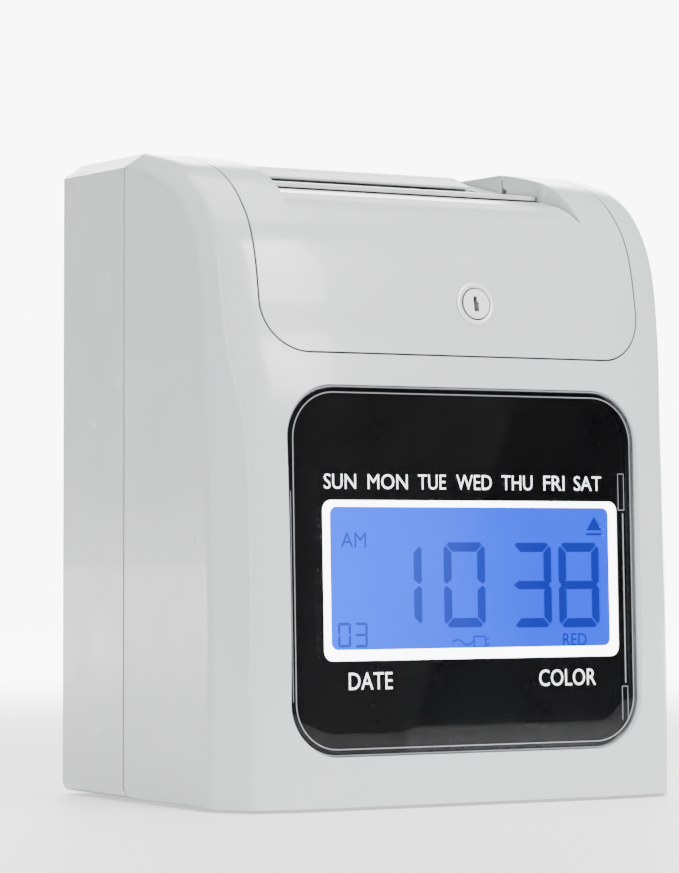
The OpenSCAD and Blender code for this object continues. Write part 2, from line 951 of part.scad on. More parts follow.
module carriage_motor_shaft() {
    color("#b8bcc0")
        rod_y(1.5, -30, -7.4, pulley_x, pulley_z);
}

module carriage_motor() {
    color("#9ea3a7")
        difference() {
            union() {
                rod_y(12.2, -31.5, plate_y[0], pulley_x, pulley_z);
                block([pulley_x + 2, pulley_x + 13.5], [-31, -18], [pulley_z - 20, pulley_z - 6]);
            }
            rod_y(1.5 + run_fit, -30.5, -10, pulley_x, pulley_z);
        }
}

// ---- card feed ----
feed_y = slot_y0 + 2.3 - feed_r;
pinch_roller_r = 5;
pinch_y = slot_y0 + 2.7 + pinch_roller_r;
gear_module = 0.8;
gear_x = [58, 62];
gear_gap = gear_module * (gear_teeth + pinion_teeth) / 2;
motor_y = feed_y - gear_gap * sin(45);
motor_z = feed_z - gear_gap * cos(45);

// Spur gear about X. Tooth 0 points along +Y when turned by 0.
module spur_gear(teeth, x0, x1, turn) {
    pitch_r = gear_module * teeth / 2;
    root_r = pitch_r - 1.15 * gear_module;
    tip_r = pitch_r + 0.85 * gear_module;
    step = 360 / teeth;
    along_x(x0, x1)
        rotate(turn) {
            circle(root_r + eps);
            for (i = [0:teeth - 1])
                rotate(i * step)
                    polygon([
                        [root_r - 0.3, -0.3 * pitch_r * sin(step)],
                        [root_r, -0.28 * pitch_r * sin(step)],
                        [pitch_r, -0.19 * pitch_r * sin(step)],
                        [tip_r, -0.08 * pitch_r * sin(step)],
                        [tip_r, 0.08 * pitch_r * sin(step)],
                        [pitch_r, 0.19 * pitch_r * sin(step)],
                        [root_r, 0.28 * pitch_r * sin(step)],
                        [root_r - 0.3, 0.3 * pitch_r * sin(step)]
                    ]);
        }
}

module feed_shaft() {
    color("#c4c8cc")
        rod_x(2.5, -69.5, frame_x[1] - 0.3, feed_y, feed_z);
}

module feed_rollers() {
    color("#2b2c2d")
        for (x = [-25, 25])
            difference() {
                rod_x(feed_r, x - 5, x + 5, feed_y, feed_z);
                rod_x(2.5, x - 6, x + 6, feed_y, feed_z);
            }
}

module feed_gear() {
    color("#ece7d6")
        difference() {
            translate([0, feed_y, feed_z])
                spur_gear(gear_teeth, gear_x[0], gear_x[1], 225);
            rod_x(2.5, 50, 70, feed_y, feed_z);
        }
}

module feed_pinion() {
    color("#c9a24a")
        difference() {
            translate([0, motor_y, motor_z])
                spur_gear(pinion_teeth, gear_x[0], gear_x[1], 45 + 180 / pinion_teeth);
            rod_x(1.5, 50, 70, motor_y, motor_z);
        }
}

module feed_motor_shaft() {
    color("#b8bcc0")
        rod_x(1.5, 57.4, 78, motor_y, motor_z);
}

module feed_motor() {
    color("#9ea3a7")
        difference() {
            rod_x(12.2, frame_x[1], 80, motor_y, motor_z);
            rod_x(1.5 + run_fit, 60, 78.5, motor_y, motor_z);
        }
}

// Bushing in the side plate on side x, with a flange of thickness t on its outside
module bushing(x, y, outer, inner, t) {
    difference() {
        union() {
            rod_x(outer, x > 0 ? frame_x[0] : -frame_x[1], x > 0 ? frame_x[1] : -frame_x[0], y, feed_z);
            if (t > 0)
                rod_x(outer + 1.2, x > 0 ? frame_x[1] : -frame_x[1] - t,
                    x > 0 ? frame_x[1] + t : -frame_x[1], y, feed_z);
        }
        rod_x(inner + run_fit, x > 0 ? 60 : -75, x > 0 ? 75 : -60, y, feed_z);
    }
}

module shaft_bushings() {
    color("#c28f3e")
        for (x = [-1, 1]) {
            bushing(x, feed_y, 4.5, 2.5, x > 0 ? 0 : 1);
            bushing(x, pinch_y, 3.5, 1.5, 1);
        }
}

module pinch_shaft() {
    color("#c4c8cc")
        rod_x(1.5, -69, 69, pinch_y, feed_z);
}

module pinch_rollers() {
    color("#3a3b3c")
        for (x = [-25, 25])
            difference() {
                rod_x(pinch_roller_r, x - 5, x + 5, pinch_y, feed_z);
                rod_x(1.5, x - 6, x + 6, pinch_y, feed_z);
            }
}

// Lever that the card pushes back as it reaches the feed rollers
sensor_y = 22.5;
sensor_z = 101;
sensor_pin_r = 1.2;
module sensor_lever() {
    color("#e4e6e6")
        difference() {
            union() {
                along_x(-2, 2)
                    polygon([
                        [sensor_y - 2, sensor_z - 1], [14.1, sensor_z + 2.6], [14.1, sensor_z + 4.2],
                        [sensor_y, sensor_z + 2.8]
                    ]);
                rod_x(3, -4, 4, sensor_y, sensor_z);
                along_x(-1, 1)
                    polygon([
                        [sensor_y - 1.5, sensor_z - 2], [sensor_y + 1.5, sensor_z - 2],
                        [sensor_y + 3, sensor_z - 11], [sensor_y + 1, sensor_z - 11]
                    ]);
            }
            rod_x(sensor_pin_r + run_fit, -6, 6, sensor_y, sensor_z);
        }
}

module sensor_pin() {
    color("#b8bcc0")
        rod_x(sensor_pin_r, -11, 11, sensor_y, sensor_z);
}

// ---- ribbon ----
ribbon_y0 = slot_y0 - 3.4;   // front face of the ribbon's run past the platen
ribbon_x = -44;
ribbon_y = -23;
module ribbon_cartridge() {
    color("#2d2f33")
        difference() {
            union() {
                block([-60, 60], [-31, -13], [172, 182.6]);
                for (x = [-60, 48])
                    block([x, x + 12], [-13, 5.4], [164, 180]);
                block([48, 60], [-31, -13], [163.2, 172]);
            }
            rod_z(3.2, 160, 190, ribbon_x, ribbon_y);
            rod_z(2.4, 180, 184, -ribbon_x, ribbon_y);
            for (x = [-50, 49])
                block([x, x + 1], [-6, 6], [163, 177]);
        }
}

module ribbon_spindle() {
    color("#dfe1e1") {
        rod_z(2, 142, 181, ribbon_x, ribbon_y);
        rod_z(6, 144.4, 148, ribbon_x, ribbon_y);
    }
}

module ribbon_knob() {
    color("#4b6fb5")
        difference() {
            union() {
                rod_z(7, 183, 186.6, ribbon_x, ribbon_y);
                for (i = [0:11])
                    rotate_about(ribbon_x, ribbon_y, i * 30)
                        block([6.4, 7.6], [-0.7, 0.7], [183, 186.6]);
                rod_z(2.9, 173, 183, ribbon_x, ribbon_y);
            }
            rod_z(2, 170, 181, ribbon_x, ribbon_y);
        }
}

module rotate_about(x, y, a) {
    translate([x, y, 0])
        rotate([0, 0, a])
            children();
}

module ink_ribbon() {
    color("#3b1f24")
        block([-43.9, 43.9], [ribbon_y0, ribbon_y0 + 0.4], [156.2, 169.2]);
}

module ribbon_guide() {
    color("#b4b8bb") {
        block([-46, 46], [ribbon_y0 - 0.2, ribbon_y0 + 1], [150, 156.2]);
        for (x = [-46, 43.9])
            block([x, x + 2.1], [ribbon_y0 - 0.2, ribbon_y0 + 1], [156.2, 171]);
    }
}

solenoid_x = -42;
solenoid_y = 3.6;
module shift_solenoid() {
    color("#70757a")
        difference() {
            union() {
                block([solenoid_x - 6, solenoid_x + 6], [-1.4, slot_y0 - 1.4], [128, 129.2]);
                block([solenoid_x - 6, solenoid_x + 6], [-1.4, slot_y0 - 1.4], [142, 143.2]);
                rod_z(4.6, 129.2, 142, solenoid_x, solenoid_y);
                block([solenoid_x - 6, solenoid_x + 6], [slot_y0 - 2.4, slot_y0 - 1.4], [128, 143.2]);
            }
            rod_z(2 + run_fit, 127, 145, solenoid_x, solenoid_y);
        }
}

module shift_plunger() {
    color("#c4c8cc")
        union() {
            rod_z(2, 130, 148.8, solenoid_x, solenoid_y);
            block([solenoid_x - 2.5, solenoid_x + 2.5], [1.6, ribbon_y0 + 1], [148.8, 150]);
        }
}

module rubber_feet() {
    color("#2a2a2b")
        for (x = [-1, 1])
            for (y = foot_ys)
                rod_z(foot_r, 0, foot_gap + 0.6, x * foot_x, y);
}

module case_screws() {
    color("#a4a8ac")
        for (x = [-1, 1])
            for (z = screw_zs)
                difference() {
                    union() {
                        rod_y(screw_r, -4, seam_y + 8, x * screw_x, z);
                        rod_y(2.9, seam_y + 8, seam_y + 10.2, x * screw_x, z);
                    }
                    block([x * screw_x - 2, x * screw_x + 2], [seam_y + 9.2, seam_y + 11],
                        [z - 0.4, z + 0.4]);
                    block([x * screw_x - 0.4, x * screw_x + 0.4], [seam_y + 9.2, seam_y + 11],
                        [z - 2, z + 2]);
                }
}

front_shell();
rear_shell();
top_cover();
hinge_pins();
lock_barrel();
lock_nut();
lock_plug();
lock_cam();
lock_keeper();
display_lens();
display_mask();
lcd_frame();
lcd_panel();
backlight();
main_board();
board_components();
power_board();
dc_jack();
battery_pack();
key_panel();
key_board();
tact_switches();
select_key();
change_key();
set_key();
left_frame();
right_frame();
cross_plate();
card_guide_front();
card_guide_rear();
platen();
carriage_rails();
print_carriage();
print_head();
carriage_belt();
drive_pulley();
carriage_motor();
carriage_motor_shaft();
idler_pulley();
idler_pin();
feed_shaft();
feed_rollers();
feed_gear();
feed_motor();
feed_motor_shaft();
feed_pinion();
shaft_bushings();
pinch_shaft();
pinch_rollers();
sensor_lever();
sensor_pin();
ribbon_cartridge();
ribbon_knob();
ribbon_spindle();
ink_ribbon();
ribbon_guide();
shift_solenoid();
shift_plunger();
rubber_feet();
case_screws();
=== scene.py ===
"""Looks of the punch time clock: glossy shells, window, lit display, lock and the mechanism's finishes."""

import json
import math

import bmesh
import bpy
from mathutils import Matrix, Vector
from mathutils.bvhtree import BVHTree
from mathutils.interpolate import poly_3d_calc


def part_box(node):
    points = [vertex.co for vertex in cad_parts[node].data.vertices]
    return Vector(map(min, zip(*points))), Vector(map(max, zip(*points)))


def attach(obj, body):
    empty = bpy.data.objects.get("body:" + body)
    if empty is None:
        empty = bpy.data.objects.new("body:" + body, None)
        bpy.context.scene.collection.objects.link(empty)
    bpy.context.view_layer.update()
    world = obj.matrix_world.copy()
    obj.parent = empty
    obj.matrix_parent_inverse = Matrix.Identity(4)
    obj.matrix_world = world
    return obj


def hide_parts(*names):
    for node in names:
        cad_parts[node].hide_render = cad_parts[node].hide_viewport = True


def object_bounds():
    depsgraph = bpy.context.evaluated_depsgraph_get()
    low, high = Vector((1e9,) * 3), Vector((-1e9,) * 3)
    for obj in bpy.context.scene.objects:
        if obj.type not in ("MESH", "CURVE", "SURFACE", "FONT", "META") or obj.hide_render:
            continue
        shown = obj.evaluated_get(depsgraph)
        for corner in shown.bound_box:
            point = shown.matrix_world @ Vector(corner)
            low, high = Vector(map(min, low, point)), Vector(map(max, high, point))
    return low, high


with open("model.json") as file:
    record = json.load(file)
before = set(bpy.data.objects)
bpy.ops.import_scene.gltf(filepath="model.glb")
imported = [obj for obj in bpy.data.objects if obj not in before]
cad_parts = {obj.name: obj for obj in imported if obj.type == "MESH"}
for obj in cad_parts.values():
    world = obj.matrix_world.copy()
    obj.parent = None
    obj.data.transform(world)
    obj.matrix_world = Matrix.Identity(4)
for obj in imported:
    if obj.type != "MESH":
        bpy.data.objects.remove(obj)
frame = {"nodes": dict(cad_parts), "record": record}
cad_low, cad_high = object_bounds()

MM = 0.001
SEAM_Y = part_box("rear_shell")[0].y / MM      # joint between the two shells
HALF_W = cad_high.x / MM
BODY_OF = {n: b for b, group in frame["record"]["behaviour"]["bodies"].items() for n in group}
SLOT_OF = {p["node"]: p["material_slot"] for p in frame["record"]["subparts"]}


# ---------------------------------------------------------------- materials

class Nodes:
    """Small helper that adds nodes to a material and links them."""

    def __init__(self, name):
        self.material = bpy.data.materials.new(name)
        self.material.use_nodes = True
        self.tree = self.material.node_tree
        self.tree.nodes.clear()
        self.out = self.add("ShaderNodeOutputMaterial")

    def add(self, kind, **settings):
        node = self.tree.nodes.new(kind)
        for key, value in settings.items():
            setattr(node, key, value)
        return node

    def link(self, source, output, target, socket):
        self.tree.links.new(source.outputs[output], target.inputs[socket])

    def coords(self, scale):
        place = self.add("ShaderNodeTexCoord")
        mapping = self.add("ShaderNodeMapping")
        mapping.inputs["Scale"].default_value = scale
        self.link(place, "Object", mapping, "Vector")
        return mapping

    def noise(self, scale, detail=3.0, stretch=(1, 1, 1)):
        node = self.add("ShaderNodeTexNoise")
        node.inputs["Scale"].default_value = scale
        node.inputs["Detail"].default_value = detail
        self.link(self.coords(stretch), "Vector", node, "Vector")
        return node

    def ramp(self, source, output, stops):
        node = self.add("ShaderNodeValToRGB")
        while len(node.color_ramp.elements) < len(stops):
            node.color_ramp.elements.new(0.5)
        for element, (place, colour) in zip(node.color_ramp.elements, stops):
            element.position = place
            element.color = (*colour, 1)
        self.link(source, output, node, "Fac")
        return node

    def painted_gap_shade(self, source, output, colour, reach):
        """Paints shade into gaps and corners: darkens the colour of what lies deep in them, where little
        light gets in.
        """
        depth = self.add("ShaderNodeAmbientOcclusion", samples=6)
        depth.inputs["Distance"].default_value = reach * MM
        gap_shade_mask = self.mapped(depth, "AO", 0.12, 0.5)
        mix = self.add("ShaderNodeMix", data_type="RGBA")
        # near-black colour of the painted shade deep in gaps
        mix.inputs[6].default_value = (*shade(colour, 0.012), 1)
        self.link(gap_shade_mask, "Result", mix, "Factor")
        self.link(source, output, mix, 7)
        return mix

    def mapped(self, source, output, low, high, to_low=0.0, to_high=1.0, **settings):
        """Maps the span from low to high onto the span from to_low to to_high."""
        node = self.add("ShaderNodeMapRange", **settings)
        node.inputs["From Min"].default_value = low
        node.inputs["From Max"].default_value = high
        node.inputs["To Min"].default_value = to_low
        node.inputs["To Max"].default_value = to_high
        self.link(source, output, node, "Value")
        return node

    def spread(self, source, low, high):
        """Spreads a noise, which seldom leaves the middle of its range, from low to high."""
        return self.mapped(source, "Fac", 0.3, 0.7, low, high)


def shade(colour, factor):
    return tuple(min(1.0, c * factor) for c in colour)


def surface(name, colour, rough=0.4, metal=0.0, vary=0.05, grain=400.0, bump=0.02, coat=0.0,
            stretch=(1, 1, 1), edge=0.0, wear=0.05, specular=0.5, gap_shade_reach=0.0, glow=0.0):
    """A moulded, painted or metal surface: colour variation, uneven gloss, fine texture, rubbed patches
    and, where asked, painted shade in gaps.

    edge is the radius in mm to which sharp edges look rounded. hollow is how far, in mm, painted shade
    reaches into gaps and corners.
    """
    n = Nodes(name)
    bsdf = n.add("ShaderNodeBsdfPrincipled")
    cloud = n.noise(9.0, 4.0)
    tint = n.ramp(cloud, "Fac", [(0.25, shade(colour, 1 - vary)), (0.75, shade(colour, 1 + vary))])
    rubbed = n.add("ShaderNodeMix", data_type="RGBA")
    rubbed.inputs[7].default_value = (*shade(colour, 1.25 if metal else 0.8), 1)
    scuff = n.noise(55.0, 6.0, stretch)
    mask = n.mapped(scuff, "Fac", 0.62, 0.8, 0.0, wear)
    n.link(mask, "Result", rubbed, "Factor")
    n.link(tint, "Color", rubbed, 6)
    if gap_shade_reach:
        n.link(n.painted_gap_shade(rubbed, 2, colour, gap_shade_reach), 2, bsdf, "Base Color")
    else:
        n.link(rubbed, 2, bsdf, "Base Color")
    gloss = n.spread(scuff, max(rough - 0.05, 0.02), rough + 0.07)
    n.link(gloss, "Result", bsdf, "Roughness")
    texture = n.noise(grain, 3.0, stretch)
    relief = n.add("ShaderNodeBump")
    relief.inputs["Strength"].default_value = bump
    relief.inputs["Distance"].default_value = 0.0002
    n.link(texture, "Fac", relief, "Height")
    if edge:
        soft = n.add("ShaderNodeBevel", samples=4)
        soft.inputs["Radius"].default_value = edge * MM
        n.link(soft, "Normal", relief, "Normal")
    n.link(relief, "Normal", bsdf, "Normal")
    bsdf.inputs["Metallic"].default_value = metal
    bsdf.inputs["Coat Weight"].default_value = coat
    bsdf.inputs["Coat Roughness"].default_value = 0.04
    bsdf.inputs["Specular IOR Level"].default_value = specular
    bsdf.inputs["Emission Color"].default_value = (1, 1, 1, 1)
    bsdf.inputs["Emission Strength"].default_value = glow
    n.link(bsdf, "BSDF", n.out, "Surface")
    return n.material


def glowing(name, left, right, reach):
    """A lit part of the display, a little uneven, from one colour to another over reach, in m across it."""
    n = Nodes(name)
    place = n.add("ShaderNodeTexCoord")
    split = n.add("ShaderNodeSeparateXYZ")
    n.link(place, "Object", split, "Vector")
    across = n.mapped(split, "X", *reach)
    tone = n.ramp(across, "Result", [(0.0, left), (1.0, right)])
    cloud = n.noise(25.0, 2.0)
    level = n.spread(cloud, 0.96, 1.04)
    glow = n.add("ShaderNodeEmission")
    n.link(tone, "Color", glow, "Color")
    n.link(level, "Result", glow, "Strength")
    n.link(glow, "Emission", n.out, "Surface")
    return n.material


def clear(name, tint, rough, share):
    """Clear moulded plastic: mostly see-through, with a glossy skin."""
    n = Nodes(name)
    through = n.add("ShaderNodeBsdfTransparent")
    through.inputs["Color"].default_value = (*tint, 1)
    skin = n.add("ShaderNodeBsdfGlossy")
    haze = n.noise(40.0, 3.0)
    gloss = n.spread(haze, rough, rough + 0.02)
    n.link(gloss, "Result", skin, "Roughness")
    fresnel = n.add("ShaderNodeFresnel")
    fresnel.inputs["IOR"].default_value = 1.49
    scale = n.add("ShaderNodeMath", operation="MULTIPLY")
    scale.inputs[1].default_value = share
    n.link(fresnel, "Fac", scale, 0)
    mix = n.add("ShaderNodeMixShader")
    n.link(scale, "Value", mix, "Fac")
    n.link(through, "BSDF", mix, 1)
    n.link(skin, "BSDF", mix, 2)
    n.link(mix, "Shader", n.out, "Surface")
    return n.material


# light grey that paints the highlights along the clear window's bevelled edges and tabs
LENS_EDGE_PAINTED_HIGHLIGHT = surface("window_edge_painted_highlight", (0.34, 0.35, 0.36), rough=0.15, vary=0.3, bump=0.02, wear=0.1)
CASE_WHITE = (0.66, 0.68, 0.685)
# painted shade darkens the case's colour up to 3 mm deep in seams and gaps
CASE = surface("case_plastic", CASE_WHITE, rough=0.2, vary=0.012, grain=900, bump=0.015, coat=0.25,
               edge=0.45, gap_shade_reach=3.0)
# the rear shell's painted shade reaches 4 mm deep, into its gaps and the card slot
CASE_REAR = surface("case_plastic_rear", shade(CASE_WHITE, 0.97), rough=0.22, vary=0.012, grain=900,
                    bump=0.015, coat=0.25, edge=0.6, gap_shade_reach=4.0)
THROAT = surface("throat_plastic", (0.78, 0.79, 0.79), rough=0.3, vary=0.015, bump=0.02, edge=0.3)
# white print with a painted glow (emission 2.6), so it stays bright behind the window
WHITE_PRINT_PAINTED_GLOW = surface("print_white_painted_glow", (0.86, 0.87, 0.87), rough=0.4, vary=0.02, glow=2.6)
FINISH = {
    "steel": surface("ground_steel", (0.55, 0.56, 0.57), 0.25, 1.0, 0.06, 300, 0.05, stretch=(1, 40, 40)),
    # painted shade darkens the lock's gaps up to 2.5 mm deep
    "lock_metal": surface("lock_nickel", (0.8, 0.81, 0.82), 0.4, 0.4, 0.03, 500, 0.03, edge=0.2,
                          gap_shade_reach=2.5),
    "bracket": surface("zinc_sheet", (0.58, 0.60, 0.62), 0.38, 1.0, 0.12, 120, 0.06, wear=0.4),
    "lcd_frame": surface("display_frame", (0.88, 0.9, 0.9), 0.35, vary=0.015, bump=0.02, edge=0.3,
                         glow=9.0),
    "lcd": glowing("liquid_crystal", (0.001, 0.21, 3.3), (0.001, 0.1, 2.35), (-0.05, 0.03)),
    "light": surface("light_diffuser", (0.8, 0.85, 0.92), 0.5),
    "board": surface("circuit_board", (0.02, 0.13, 0.05), 0.35, vary=0.2, grain=150, bump=0.1, coat=0.3),
    "chips": surface("black_resin", (0.02, 0.02, 0.022), 0.45, vary=0.1, bump=0.05),
    "cells": surface("battery_sleeve", (0.05, 0.27, 0.1), 0.25, vary=0.08, coat=0.3),
    "panel": surface("guide_plastic", (0.68, 0.69, 0.69), 0.38, vary=0.03, edge=0.2),
    "key_grey": surface("key_grey", (0.25, 0.27, 0.29), 0.45, vary=0.05, edge=0.3),
    "key_red": surface("key_red", (0.5, 0.07, 0.05), 0.45, vary=0.05, edge=0.3),
    "rubber": surface("black_rubber", (0.018, 0.018, 0.018), 0.75, vary=0.15, grain=600, bump=0.15),
    "carriage": surface("carriage_plastic", (0.035, 0.038, 0.042), 0.45, vary=0.08, bump=0.05, edge=0.2),
    "head": surface("head_casting", (0.42, 0.43, 0.44), 0.42, 1.0, 0.1, 250, 0.15),
    "motor": surface("motor_can", (0.36, 0.37, 0.38), 0.3, 1.0, 0.08, 300, 0.05, stretch=(30, 1, 1)),
    "pulley": surface("gear_nylon", (0.72, 0.71, 0.66), 0.45, vary=0.05),
    "brass": surface("turned_brass", (0.62, 0.44, 0.16), 0.25, 1.0, 0.08, 300, 0.06),
    "knob": surface("knob_blue", (0.06, 0.15, 0.42), 0.4, vary=0.06, edge=0.2),
    "ribbon": surface("ribbon_cloth", (0.03, 0.012, 0.016), 0.85, vary=0.25, grain=1500, bump=0.4),
    "mask": surface("window_black", (0.0025, 0.0025, 0.0028), 0.3, vary=0.1, bump=0.004, specular=0.1),
    "lens": clear("window_clear", (0.985, 0.99, 0.99), 0.02, 0.45),
    "case": CASE_REAR,
}


# ---------------------------------------------------------------- shape of the front half of the case

# Control points from the bottom edge up to the shell joint, in mm, as in the part's source:
# where the face meets the bevel, where the bevel meets the side, and how proud the middle stands.
CREST = [
    (78.0, -52.8, -6), (78.0, -52.8, 6), (77.9, -52.9, 32), (77.3, -52.9, 57), (77.0, -52.1, 81),
    (77.2, -50.9, 104), (78.0, -49.0, 121), (79.7, -46.4, 132.5), (81.3, -43.8, 145), (82.0, -41.6, 159),
    (82.1, -39.2, 172), (82.0, -35.8, 181.5), (81.9, -31.0, 189.2), (81.7, -24.5, 195.8),
    (81.6, -15.0, 201.3), (81.5, -2.0, 205.3), (81.5, 11.6, 208.3), (81.5, 18.0, 209.7),
]
CREASE = [
    (-41.3, -6), (-41.4, 6), (-41.3, 32), (-40.9, 57), (-40.0, 81), (-38.8, 104), (-37.8, 121),
    (-37.1, 132.5), (-36.1, 145), (-34.9, 158), (-33.0, 169.5), (-30.2, 178), (-26.2, 185),
    (-20.5, 191.2), (-12.2, 196.5), (-1.5, 200.6), (11.6, 203.4), (18.0, 204.8),
]
CROWN = [4.2, 4.25, 4.25, 4.25, 4.2, 4.3, 4.8, 5.4, 5.2, 5, 4.9, 4.6, 3.4, 2.4, 1.5, 0.6, 0, 0]
CROWN_POWER = 8          # how late the middle's bulge falls off towards the bevel
SIDE_TAPER = 2.7 / 53    # how much each side draws in, per mm in front of the joint
EDGE_SOFTEN = 0.9        # half the length, in mm, over which a corner of a row is averaged
ROWS_PER_SPAN = 6
ROW_STEPS = 64
FACE_STEPS = 30
BEVEL_STEPS = 10
SIDE_STEPS = 9
SIDE_STEP = 0.75         # in mm


def along(points, s):
    """Catmull-Rom curve through the points at parameter s."""
    last = len(points) - 1
    i = min(max(int(math.floor(s)), 0), last - 1)
    t = s - i
    a, b, c, d = (Vector(p) if isinstance(p, tuple) else p
                  for p in (points[max(i - 1, 0)], points[i], points[i + 1], points[min(i + 2, last)]))
    square, cube = 2 * a - 5 * b + 4 * c - d, 3 * b - a - 3 * c + d
    return 0.5 * (2 * b + (c - a) * t + square * t * t + cube * t ** 3)


def side_x(y):
    return HALF_W - SIDE_TAPER * max(SEAM_Y - y, 0)


def cross_row(s):
    """One half row across the body, from the middle to the side, with its two corners rounded."""
    crest, crease, crown = along(CREST, s), along(CREASE, s), along(CROWN, s)
    rise = along(CREST, s + 0.02) - along(CREST, s - 0.02)
    out = Vector((0, -rise.z, rise.y)).normalized()
    side = Vector((side_x(crease.x), crease.x, crease.y))
    points = []
    for i in range(FACE_STEPS + 1):
        u = i / FACE_STEPS
        points.append(Vector((u * crest.x, crest.y, crest.z)) + out * crown * (1 - u ** CROWN_POWER))
    points += [crest.lerp(side, i / BEVEL_STEPS) for i in range(1, BEVEL_STEPS)]
    points += [side - out * SIDE_STEP * i for i in range(SIDE_STEPS)]
    lengths = [0.0]
    for a, b in zip(points, points[1:]):
        lengths.append(lengths[-1] + (b - a).length)

    def at(d):
        """The point at length d from the middle, on the mirrored half when d is negative."""
        if d < 0:
            p = at(-d)
            return Vector((-p.x, p.y, p.z))
        for k in range(1, len(points)):
            if lengths[k] >= d:
                span = lengths[k] - lengths[k - 1]
                return points[k - 1].lerp(points[k], (d - lengths[k - 1]) / span)
        return points[-1]

    row = []
    end = lengths[-1] - EDGE_SOFTEN
    for i in range(ROW_STEPS + 1):
        d = end * (i / ROW_STEPS) ** 0.7
        around = [at(d + EDGE_SOFTEN * k / 4) for k in range(-4, 5)]
        row.append(sum(around, Vector()) / len(around))
    return row


def reference_surface():
    """Fine, rounded version of the front half's outer surface, used for places and normals."""
    half = [cross_row(i / ROWS_PER_SPAN) for i in range((len(CREST) - 1) * ROWS_PER_SPAN + 1)]
    rows = []
    for row in half:
        left = [Vector((-p.x, p.y, p.z)) for p in reversed(row[1:])]
        back = Vector((HALF_W, max(SEAM_Y, row[-1].y + 0.1), row[-1].z))
        rows.append([Vector((-back.x, back.y, back.z)), *left, *row, back])
    width = len(rows[0])
    mesh = bpy.data.meshes.new("reference")
    quads = [(i * width + j, i * width + j + 1, (i + 1) * width + j + 1, (i + 1) * width + j)
             for i in range(len(rows) - 1) for j in range(width - 1)]
    mesh.from_pydata([p * MM for row in rows for p in row], [], quads)
    mesh.update()
    return mesh


REFERENCE = reference_surface()
REF_POINTS = [v.co.copy() for v in REFERENCE.vertices]
REF_NORMALS = [v.normal.copy() for v in REFERENCE.vertices]
REF_FACES = [tuple(p.vertices) for p in REFERENCE.polygons]
REF_TREE = BVHTree.FromPolygons(REF_POINTS, REF_FACES)


JOINT_FACE = 0.12 * MM       # a face this close to the joint's plane belongs to the joint
FACE_GAP = 1.2 * MM          # how far an outer face's middle may lie from the reference surface
CORNER_GAP = 0.9 * MM        # and how far its corners may
FACING = 0.86                # least agreement of the two normals


def nearest(point):
    """Nearest point of the reference surface, its smooth normal and the distance."""
    place, flat, index, gap = REF_TREE.find_nearest(point)
    corners = REF_FACES[index]
    weights = poly_3d_calc([REF_POINTS[c] for c in corners], place)
    normal = sum((REF_NORMALS[c] * w for c, w in zip(corners, weights)), Vector()).normalized()
    if normal.dot(flat) < 0:
        normal = -normal
    return place, normal, gap


def copy_node(name, node):
    mesh = frame["nodes"][node].data.copy()
    mesh.materials.clear()
    piece = bpy.data.objects.new(name, mesh)
    bpy.context.scene.collection.objects.link(piece)
    return piece


def smooth_by_angle(piece, degrees, keep_sharp=True):
    bpy.context.view_layer.objects.active = piece
    piece.select_set(True)
    bpy.ops.object.shade_smooth_by_angle(angle=math.radians(degrees), keep_sharp_edges=keep_sharp)
    piece.select_set(False)


def ride_with(piece, node):
    """Puts an added piece on the body of the CAD node it belongs to."""
    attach(piece, BODY_OF[node])


def place_piece(piece, node, material):
    """Gives a piece its material, lets it stand for the CAD node and ride on that node's body."""
    piece.data.materials.clear()
    piece.data.materials.append(material)
    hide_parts(node)
    ride_with(piece, node)


def is_outer(face):
    """Whether a face of the CAD skin lies on the outer surface."""
    centre = face.calc_center_median()
    if abs(centre.y - SEAM_Y * MM) < JOINT_FACE:
        return False
    normal, gap = nearest(centre)[1:]
    if gap > FACE_GAP or normal.dot(face.normal) < FACING:
        return False
    return all(nearest(v.co)[2] < CORNER_GAP for v in face.verts)


def smooth_skin(name, node, material, longest=3.2):
    """The CAD shell, with its outside cut finer, drawn onto the rounded surface and given its normals."""
    piece = copy_node(name, node)
    mesh = piece.data
    bm = bmesh.new()
    bm.from_mesh(mesh)
    bmesh.ops.remove_doubles(bm, verts=bm.verts, dist=2e-6)
    bmesh.ops.triangulate(bm, faces=bm.faces)
    for _ in range(7):
        bm.normal_update()
        outer = [f for f in bm.faces if is_outer(f)]
        long_edges = {e for f in outer for e in f.edges if e.calc_length() > longest * MM}
        if not long_edges:
            break
        bmesh.ops.subdivide_edges(bm, edges=list(long_edges), cuts=1)
        bmesh.ops.triangulate(bm, faces=[f for f in bm.faces if len(f.verts) > 3])
    bm.normal_update()
    outer = [f for f in bm.faces if is_outer(f)]
    skin = {v for f in outer for v in f.verts}
    for v in skin:
        place, _, gap = nearest(v.co)
        if gap < CORNER_GAP and v.co.y < (SEAM_Y - 0.05) * MM:
            v.co = place
    bm.faces.index_update()
    marks = {f.index for f in outer}
    bm.to_mesh(mesh)
    bm.free()
    mesh.shade_smooth()
    smooth_by_angle(piece, 24, keep_sharp=False)
    normals = [Vector(c.vector) for c in mesh.corner_normals]
    known = {}
    for polygon in mesh.polygons:
        if polygon.index not in marks:
            continue
        for loop in polygon.loop_indices:
            v = mesh.loops[loop].vertex_index
            if v not in known:
                known[v] = nearest(mesh.vertices[v].co)[1]
            normals[loop] = known[v]
    mesh.normals_split_custom_set(normals)
    place_piece(piece, node, material)


smooth_skin("front_case", "front_shell", CASE)
smooth_skin("cover_lid", "top_cover", CASE)


# ---------------------------------------------------------------- drawing helpers

def new_piece(name, verts, faces, material, smooth_angle=None):
    mesh = bpy.data.meshes.new(name)
    mesh.from_pydata([Vector(v) * MM for v in verts], [], faces)
    mesh.validate()
    mesh.materials.append(material)
    piece = bpy.data.objects.new(name, mesh)
    bpy.context.scene.collection.objects.link(piece)
    bm = bmesh.new()
    bm.from_mesh(mesh)
    bmesh.ops.recalc_face_normals(bm, faces=bm.faces)
    bm.to_mesh(mesh)
    bm.free()
    if smooth_angle:
        smooth_by_angle(piece, smooth_angle)
    return piece


